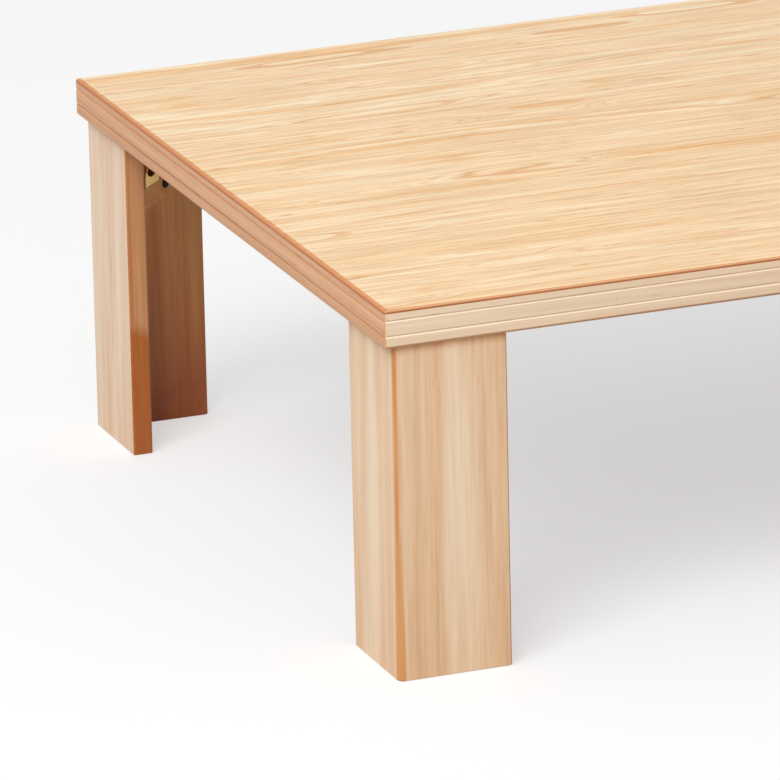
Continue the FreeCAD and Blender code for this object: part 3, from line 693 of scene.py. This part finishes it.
def make_finish(name):
    """New finish by its name."""
    if name in WOODS:
        grain, run, tone_name, *edge_and_shade = WOODS[name]
        return wood(name, grain, run, *tones(tone_name), *edge_and_shade)
    if name in GROOVES:
        grain, tone_name, left = GROOVES[name]
        pale, tan = (darker(shade, left) for shade in tones(tone_name))
        return wood(name, grain, MOULDING_GRAIN, pale, tan)
    if name == "underside_board":
        base = setting_colour("underside")
        pale = tuple(UNDERSIDE_PALE * channel for channel in base)
        tan = tuple(UNDERSIDE_TAN * channel for channel in base)
        return wood(name, "X", UNDERSIDE_GRAIN, pale, tan)
    if name in STEELS:
        colour_name, roughness = STEELS[name]
        return steel(name, setting_colour(colour_name), setting_colour(f"{colour_name}_drift"), roughness)
    if name == "black_steel":
        return black_steel(name, setting_colour("black"), setting_colour("black_worn"))
    raise RuntimeError(f"no finish is named {name}")


# Mesh work.

# Straight pieces that each round is made of.
TOP_CORNER_SEGMENTS = 6
TOP_EASE_SEGMENTS = 5
LIP_SEGMENTS = 3
LEG_CORNER_SEGMENTS = 10
BOARD_EDGE_SEGMENTS = 4
FOOT_SEGMENTS = 2
BLOCK_SEGMENTS = 3

# Flat cuts that make a moulding's half of the corner round, which turns through half a right angle.
MITRE_FACETS = 4
MITRE_ANGLE = 45.0

# Two places this close are one, a corner this close is on a cut, and a line this near to Z is upright.
SAME_PLACE = 0.02 * MM
ON_PLANE = 0.0001 * MM
UPRIGHT = 0.999

# Edges that turn by more than this angle stay sharp, and this weight lets large faces lead the normals.
SHARP_ANGLE = math.radians(40)
FLAT_WEIGHT = 100


def box_mesh(low, high):
    """Mesh of a box between two corners."""
    mesh = bmesh.new()
    bmesh.ops.create_cube(mesh, size=1.0)
    low, high = Vector(low), Vector(high)
    bmesh.ops.scale(mesh, vec=high - low, verts=mesh.verts)
    bmesh.ops.translate(mesh, vec=(low + high) / 2, verts=mesh.verts)
    return mesh


def prism_mesh(corners, rise):
    """Mesh of a flat outline drawn out by a vector."""
    mesh = bmesh.new()
    face = mesh.faces.new([mesh.verts.new(corner) for corner in corners])
    drawn = bmesh.ops.extrude_face_region(mesh, geom=[face])
    moved = [item for item in drawn["geom"] if isinstance(item, bmesh.types.BMVert)]
    bmesh.ops.translate(mesh, vec=rise, verts=moved)
    bmesh.ops.recalc_face_normals(mesh, faces=mesh.faces)
    return mesh


def round_edges(mesh, edges, width, segments):
    """Round some edges off."""
    bmesh.ops.bevel(mesh, geom=edges, offset=width, offset_type="OFFSET", affect="EDGES",
                    segments=segments, profile=0.5, material=-1, clamp_overlap=True)


def cut_away(mesh, point, normal):
    """Take off what lies beyond a plane, and close the cut."""
    everything = [*mesh.verts, *mesh.edges, *mesh.faces]
    bmesh.ops.bisect_plane(mesh, geom=everything, dist=ON_PLANE, plane_co=point, plane_no=normal,
                           clear_outer=True)
    rim = [edge for edge in mesh.edges if edge.is_boundary]
    bmesh.ops.holes_fill(mesh, edges=rim, sides=0)


def near(value, target):
    """Whether two places along an axis are the same."""
    return abs(value - target) < SAME_PLACE


def upright_edges(mesh):
    """Edges that run along Z."""
    lines = [(edge, edge.verts[1].co - edge.verts[0].co) for edge in mesh.edges]
    return [edge for edge, line in lines if line.length > 0 and abs(line.normalized().z) > UPRIGHT]


def level_edges(mesh, height):
    """Edges that lie at a height."""
    return [edge for edge in mesh.edges if all(near(vert.co.z, height) for vert in edge.verts)]


def make_piece(name, mesh, finishes, body, nodes, place=None):
    """Close a mesh into a named piece that stands for CAD nodes and moves with a body."""
    if place is not None:
        bmesh.ops.transform(mesh, matrix=place, verts=mesh.verts)
    bmesh.ops.recalc_face_normals(mesh, faces=mesh.faces)
    if any(edge.is_boundary for edge in mesh.edges):
        raise RuntimeError(f"{name} has an open edge")
    for face in mesh.faces:
        face.smooth = True
    data = bpy.data.meshes.new(name)
    mesh.to_mesh(data)
    mesh.free()
    data.set_sharp_from_angle(angle=SHARP_ANGLE)
    for finish_name in finishes:
        data.materials.append(finish(finish_name))
    piece = bpy.data.objects.new(name, data)
    bpy.context.scene.collection.objects.link(piece)
    flat = piece.modifiers.new("flat_faces", "WEIGHTED_NORMAL")
    flat.keep_sharp = True
    flat.weight = FLAT_WEIGHT
    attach(piece, body)
    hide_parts(*nodes)


def dress(finish_name, *starts):
    """Give CAD nodes whose names start so their finish."""
    found = [node for name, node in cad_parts.items() if name.startswith(starts)]
    if not found:
        raise RuntimeError(f"no CAD node starts with {starts}")
    for node in found:
        if not node.material_slots:
            node.data.materials.append(None)
        for slot in node.material_slots:
            slot.material = finish(finish_name)


# Pieces of the top.

class LOWTABLE_OT_top_sheet(bpy.types.Operator):
    """Build the veneered top sheet with its eased edge"""

    bl_idname = "low_table.top_sheet"
    bl_label = "Top Sheet"

    # Places in the list of finishes, and how far a normal leans to Z or Y on the face and the long rims.
    VENEER, LONG_RIM, END_RIM = range(3)
    FACE_LEAN, LONG_RIM_LEAN = 0.97, 0.7

    def execute(self, context):
        sizes = settings().top
        mesh = box_mesh(TOP_LOW, TOP_HIGH)
        round_edges(mesh, upright_edges(mesh), sizes.corner_round, TOP_CORNER_SEGMENTS)
        round_edges(mesh, level_edges(mesh, TOP_HIGH.z), sizes.face_ease, TOP_EASE_SEGMENTS)
        mesh.normal_update()
        for face in mesh.faces:
            face.material_index = self.finish_of(face)
        make_piece("top_veneer_sheet", mesh, ["top_veneer", "rim_X", "rim_Y"],
                   "table_top", ["top_panel"])
        return {"FINISHED"}

    def finish_of(self, face):
        """Veneer on the flat faces, and a rim finish by the side that the edge is on."""
        if abs(face.normal.z) > self.FACE_LEAN:
            return self.VENEER
        return self.LONG_RIM if abs(face.normal.y) > self.LONG_RIM_LEAN else self.END_RIM


class LOWTABLE_OT_mouldings(bpy.types.Operator):
    """Build the four grooved edge mouldings, mitred at the corners"""

    bl_idname = "low_table.mouldings"
    bl_label = "Edge Mouldings"

    # Places in the list of finishes, the depth at which a groove starts, and how far the normals of a
    # groove's sides and of the lower ease lean to Z.
    # LIP is a painted highlight on groove sides that face up, GROOVE is painted shade down in the grooves,
    # and FOOT is painted shade on the lower ease where it faces down.
    MOULDING, LIP, GROOVE, FOOT = range(4)
    GROOVE_START = 0.05 * MM
    GROOVE_LEAN = 0.1
    FOOT_LEAN = (-0.99, -0.5)

    def execute(self, context):
        for name, turn in EDGES.items():
            self.moulding(name, turn)
        return {"FINISHED"}

    def moulding(self, name, turn):
        """Moulding drawn with its outer face on Y = 0 and its length along X, then turned into place."""
        sizes = settings().top
        low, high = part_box(f"edge_{name}")
        long_side = turn % 180 == 0
        half = TOP_HIGH.x if long_side else TOP_HIGH.y
        width = high.y - low.y if long_side else high.x - low.x
        middles = [TOP_HIGH.z - sizes.lower_groove, TOP_HIGH.z - sizes.upper_groove]
        mesh = self.grooved_bar(half, width, low.z, high.z, middles)
        for side in (-1, 1):
            self.mitre(mesh, half, side)
        mesh.normal_update()
        for face in mesh.faces:
            face.material_index = self.finish_of(face, low.z, middles, long_side)
        if long_side:
            outer = Vector((0.0, low.y if turn == 0 else high.y, 0.0))
        else:
            outer = Vector((high.x if turn == 90 else low.x, 0.0, 0.0))
        place = Matrix.Translation(outer) @ Matrix.Rotation(math.radians(turn), 4, "Z")
        run = "side" if long_side else "end"
        finishes = [f"{run}_{part}" for part in ("moulding", "lip", "groove", "foot")]
        make_piece(f"moulding_{name}", mesh, finishes, "table_top", [f"edge_{name}"], place)

    def grooved_bar(self, half, width, bottom, top, middles):
        """Straight bar with its grooves, their lips rounded, and its lower edge eased."""
        sizes = settings().top
        half_groove = sizes.groove_width / 2
        section = [(width, bottom), (0.0, bottom)]
        for middle in middles:
            section += [(0.0, middle - half_groove), (sizes.groove_depth, middle)]
            section += [(0.0, middle + half_groove)]
        section += [(0.0, top), (width, top)]
        mesh = prism_mesh([(-half, depth, height) for depth, height in section], (2 * half, 0.0, 0.0))
        lips = {middle + side for middle in middles for side in (-half_groove, half_groove)}
        round_edges(mesh, self.outer_runs(mesh, lips), sizes.groove_lip, LIP_SEGMENTS)
        round_edges(mesh, self.outer_runs(mesh, {bottom}), sizes.lower_ease, TOP_EASE_SEGMENTS)
        return mesh

    def outer_runs(self, mesh, heights):
        """Edges along the outer face at any of some heights."""
        return [edge for edge in mesh.edges
                if all(near(vert.co.y, 0.0) for vert in edge.verts)
                and any(all(near(vert.co.z, height) for vert in edge.verts) for height in heights)]

    def mitre(self, mesh, half, side):
        """Cut one end to its mitre and to its half of the corner round, and blunt it by the seam."""
        sizes = settings().top
        corner = sizes.corner_round
        cut_away(mesh, (side * half, 0.0, 0.0), (side, 1.0, 0.0))
        centre = Vector((side * (half - corner), corner, 0.0))
        for facet in range(MITRE_FACETS):
            angle = math.radians(MITRE_ANGLE / MITRE_FACETS * (facet + 0.5))
            direction = Vector((side * math.sin(angle), -math.cos(angle), 0.0))
            cut_away(mesh, centre + direction * corner, direction)
        seam = half - corner * (1 - ROOT_HALF) - sizes.seam
        cut_away(mesh, (side * seam, 0.0, 0.0), (side, 0.0, 0.0))

    def finish_of(self, face, bottom, middles, long_side):
        """Lip finish, a painted highlight, and groove finish, painted shade, on the sides of the grooves
        by the way they face and by the groove, foot finish, painted shade, on the lower ease where it
        faces down, and moulding elsewhere.
        """
        sizes = settings().top
        half_groove = sizes.groove_width / 2
        spot = face.calc_center_median()
        sunk = spot.y > self.GROOVE_START and any(abs(spot.z - middle) < half_groove for middle in middles)
        in_lower = abs(spot.z - middles[0]) < half_groove
        low_round = spot.z < bottom + sizes.lower_ease and spot.y < sizes.lower_ease
        if sunk and face.normal.z > self.GROOVE_LEAN:
            return self.LIP if long_side or not in_lower else self.GROOVE
        if sunk and face.normal.z < -self.GROOVE_LEAN:
            return self.GROOVE if long_side or in_lower else self.MOULDING
        if low_round and self.FOOT_LEAN[0] < face.normal.z < self.FOOT_LEAN[1]:
            return self.FOOT
        return self.MOULDING


class LOWTABLE_OT_inside_of_top(bpy.types.Operator):
    """Finish the core frame and the board under the top"""

    bl_idname = "low_table.inside_of_top"
    bl_label = "Core and Underside"

    def execute(self, context):
        dress("core_wood", "core_", "hinge_backing_blocks")
        dress("underside_board", "bottom_panel")
        return {"FINISHED"}


# Pieces of the legs.

def leg_corner(corner):
    """Table place of a leg's outer corner, with the turn of the leg."""
    lows, highs = zip(*(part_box(f"{board}_board_{corner}") for board in ("end", "side")))
    x = min(low.x for low in lows) if corner.endswith("left") else max(high.x for high in highs)
    y = min(low.y for low in lows) if corner.startswith("front") else max(high.y for high in highs)
    return Matrix.Translation((x, y, 0.0)) @ Matrix.Rotation(math.radians(CORNERS[corner]), 4, "Z")


class LOWTABLE_OT_leg_boards(bpy.types.Operator):
    """Build the two mitred boards of each leg"""

    bl_idname = "low_table.leg_boards"
    bl_label = "Leg Boards"

    # Places in the list of finishes, how far the normals of the broad faces lean to X, and how little
    # those of the corner round lean to Z.
    FACE, EDGE, INSIDE = range(3)
    BROAD_LEAN = 0.9
    CORNER_LEAN = 0.1

    def execute(self, context):
        for corner, turn in CORNERS.items():
            first, second = ("end", "side") if turn % 180 == 0 else ("side", "end")
            self.board(corner, first, along_x=False)
            self.board(corner, second, along_x=True)
        return {"FINISHED"}

    def board(self, corner, kind, along_x):
        """Board drawn from the outer corner of the leg along its Y, or swapped to run along X."""
        sizes = settings().legs
        low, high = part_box(f"{kind}_board_{corner}")
        mesh = box_mesh((0.0, 0.0, low.z), (sizes.thickness, sizes.width, high.z))
        outer = [edge for edge in upright_edges(mesh)
                 if near(edge.verts[0].co.x, 0.0) and near(edge.verts[0].co.y, 0.0)]
        round_edges(mesh, outer, sizes.corner_round, LEG_CORNER_SEGMENTS)
        cut_away(mesh, (0.0, 0.0, 0.0), (1.0, -1.0, 0.0))
        free = [edge for edge in upright_edges(mesh) if near(edge.verts[0].co.y, sizes.width)]
        round_edges(mesh, free, sizes.edge_ease, BOARD_EDGE_SEGMENTS)
        foot = [edge for edge in level_edges(mesh, low.z)
                if not all(near(vert.co.x, vert.co.y) for vert in edge.verts)]
        round_edges(mesh, foot, sizes.foot_ease, FOOT_SEGMENTS)
        mesh.normal_update()
        for face in mesh.faces:
            face.material_index = self.finish_of(face, sizes)
        if along_x:
            swap = Matrix(((0, 1, 0, 0), (1, 0, 0, 0), (0, 0, 1, 0), (0, 0, 0, 1)))
            bmesh.ops.transform(mesh, matrix=swap, verts=mesh.verts)
        face_finish = "front_leg_face" if corner.startswith("front") else "back_leg_face"
        make_piece(f"leg_{kind}_board_{corner}", mesh, [face_finish, "board_edge", "leg_inside"],
                   f"leg_{corner}", [f"{kind}_board_{corner}"], leg_corner(corner))

    def finish_of(self, face, sizes):
        """Face finish outside and round the corner, inside finish behind, and edge finish elsewhere."""
        round_corner = face.calc_center_median().y < sizes.corner_round and face.normal.x < 0
        if face.normal.x < -self.BROAD_LEAN or (round_corner and abs(face.normal.z) < self.CORNER_LEAN):
            return self.FACE
        return self.INSIDE if face.normal.x > self.BROAD_LEAN else self.EDGE


class LOWTABLE_OT_corner_blocks(bpy.types.Operator):
    """Build the diagonal block inside each leg"""

    bl_idname = "low_table.corner_blocks"
    bl_label = "Corner Blocks"

    def execute(self, context):
        sizes = settings().legs
        for corner in CORNERS:
            low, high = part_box(f"corner_block_{corner}")
            heel = sizes.thickness
            reach = heel + high.x - low.x
            nose = heel + sizes.block_nose
            outline = [(heel, heel), (reach, heel), (reach, nose), (nose, reach), (heel, reach)]
            mesh = prism_mesh([(x, y, low.z) for x, y in outline], (0.0, 0.0, high.z - low.z))
            front = [edge for edge in mesh.edges
                     if all(vert.co.x + vert.co.y > reach + nose - MM for vert in edge.verts)]
            round_edges(mesh, front, sizes.block_ease, BLOCK_SEGMENTS)
            make_piece(f"leg_corner_block_{corner}", mesh, ["block_wood"], f"leg_{corner}",
                       [f"corner_block_{corner}"], leg_corner(corner))
        return {"FINISHED"}


class LOWTABLE_OT_hinges(bpy.types.Operator):
    """Finish the hinge plates, yokes, springs, pins and screws"""

    bl_idname = "low_table.hinges"
    bl_label = "Hinges"

    def execute(self, context):
        dress("gold_zinc_steel", "hinge_base_front", "hinge_base_back", "yoke_")
        dress("spring_steel", "leaf_spring_front", "leaf_spring_back")
        dress("bright_steel", "hinge_base_screws", "leaf_spring_rivets", "pivot_pin", "pivot_bush")
        dress("black_steel", "block_screws")
        return {"FINISHED"}


# The stage.

CAMERA_PLACE = (-3.0203, -6.7021, 2.4693)
CAMERA_FORWARD = (0.34005, 0.88756, -0.31080)
CAMERA_RIGHT = (0.93116, -0.36401, -0.02073)
CAMERA_LENS = 406.7
CAMERA_SENSOR = 36.0
CAMERA_SIGHT = 100.0

WHITE = (1.0, 1.0, 1.0)
AMBIENT = 0.5

KEY_PLACE = (-4.06, -3.7, 5.42)
KEY_TARGET = (-0.3, -0.1, 0.3)
KEY_SIZE = 4.0
KEY_POWER = 374.0

# The floor lies just below the feet. Where it is seen, its grey is lower and its glow brings it to white.
FLOOR_HALF = 14.0
FLOOR_DROP = 0.2 * MM
FLOOR_ROUGHNESS = 0.9
FLOOR_BOUNCE = 0.6
FLOOR_SEEN = 0.45
FLOOR_GLOW = 0.56


class LOWTABLE_OT_stage(bpy.types.Operator):
    """Set the pale floor, the soft light and the camera"""

    bl_idname = "low_table.stage"
    bl_label = "Stage"

    def execute(self, context):
        scene = context.scene
        scene.view_settings.view_transform = "Standard"
        self.floor(scene)
        self.surroundings(scene)
        self.key_softbox(scene)
        self.camera(scene)
        return {"FINISHED"}

    def seen(self, tree):
        """One for rays that show the surroundings: from the camera, in gloss and in transmission."""
        path = add_node(tree, "ShaderNodeLightPath").outputs
        share = larger(tree, path["Is Camera Ray"], path["Is Glossy Ray"])
        return larger(tree, share, path["Is Transmission Ray"])

    def floor(self, scene):
        """Pale floor, with its material."""
        mesh = bmesh.new()
        bmesh.ops.create_grid(mesh, x_segments=1, y_segments=1, size=FLOOR_HALF)
        bmesh.ops.translate(mesh, vec=(0.0, 0.0, -FLOOR_DROP), verts=mesh.verts)
        data = bpy.data.meshes.new("studio_floor")
        mesh.to_mesh(data)
        mesh.free()
        material, tree, shader = new_finish("studio_floor")
        seen = self.seen(tree)
        grey = mix_colours(tree, seen, (FLOOR_BOUNCE,) * 3, (FLOOR_SEEN,) * 3)
        glow = times(tree, seen, FLOOR_GLOW)
        connect(tree, shader, Base_Color=grey, Roughness=FLOOR_ROUGHNESS, Specular_IOR_Level=0.0,
                Emission_Color=opaque(WHITE), Emission_Strength=glow)
        data.materials.append(material)
        floor = bpy.data.objects.new("studio_floor", data)
        scene.collection.objects.link(floor)

    def surroundings(self, scene):
        """White surroundings that light the table softly from all round."""
        world = bpy.data.worlds.new("studio_surroundings")
        world.use_nodes = True
        tree = world.node_tree
        background = next(node for node in tree.nodes if node.type == "BACKGROUND")
        strength = remap(tree, self.seen(tree), 0.0, 1.0, AMBIENT, 1.0)
        connect(tree, background, Color=opaque(WHITE), Strength=strength)
        scene.world = world

    def key_softbox(self, scene):
        """Large soft lamp above the front left corner."""
        lamp = bpy.data.lights.new("key_softbox", "AREA")
        lamp.shape = "SQUARE"
        lamp.size = KEY_SIZE
        lamp.energy = KEY_POWER
        holder = bpy.data.objects.new("key_softbox", lamp)
        holder.location = KEY_PLACE
        aim = Vector(KEY_TARGET) - Vector(KEY_PLACE)
        holder.rotation_euler = aim.to_track_quat("-Z", "Y").to_euler()
        scene.collection.objects.link(holder)

    def camera(self, scene):
        """Camera that sees the front left corner from a little above."""
        lens = bpy.data.cameras.new("studio_camera")
        lens.lens = CAMERA_LENS
        lens.sensor_width = CAMERA_SENSOR
        lens.clip_end = CAMERA_SIGHT
        holder = bpy.data.objects.new("studio_camera", lens)
        back = -Vector(CAMERA_FORWARD).normalized()
        right = Vector(CAMERA_RIGHT).normalized()
        up = back.cross(right)
        turn = Matrix((right, up, back)).transposed().to_4x4()
        holder.matrix_world = Matrix.Translation(CAMERA_PLACE) @ turn
        scene.collection.objects.link(holder)
        scene.camera = holder


PIECES = (
    LOWTABLE_OT_top_sheet,
    LOWTABLE_OT_mouldings,
    LOWTABLE_OT_inside_of_top,
    LOWTABLE_OT_leg_boards,
    LOWTABLE_OT_corner_blocks,
    LOWTABLE_OT_hinges,
    LOWTABLE_OT_stage,
)


class LOWTABLE_PT_pieces(bpy.types.Panel):
    """Buttons for the pieces of the table"""

    bl_idname = "LOWTABLE_PT_pieces"
    bl_label = "Folding Low Table"
    bl_space_type = "VIEW_3D"
    bl_region_type = "UI"
    bl_category = "Low Table"

    def draw(self, context):
        for piece in PIECES:
            self.layout.operator(piece.bl_idname)


CLASSES = (TopSizes, LegSizes, Colours, TableSettings, *PIECES, LOWTABLE_PT_pieces)


def register():
    """Register the settings, the operators and the panel."""
    for item in CLASSES:
        bpy.utils.register_class(item)
    bpy.types.Scene.low_table = bpy.props.PointerProperty(type=TableSettings)


def unregister():
    """Take back what register did."""
    del bpy.types.Scene.low_table
    for item in reversed(CLASSES):
        bpy.utils.unregister_class(item)


def main():
    """Register the classes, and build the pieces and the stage."""
    register()
    bpy.ops.low_table.top_sheet()
    bpy.ops.low_table.mouldings()
    bpy.ops.low_table.inside_of_top()
    bpy.ops.low_table.leg_boards()
    bpy.ops.low_table.corner_blocks()
    bpy.ops.low_table.hinges()
    bpy.ops.low_table.stage()


if __name__ == "__main__":
    main()
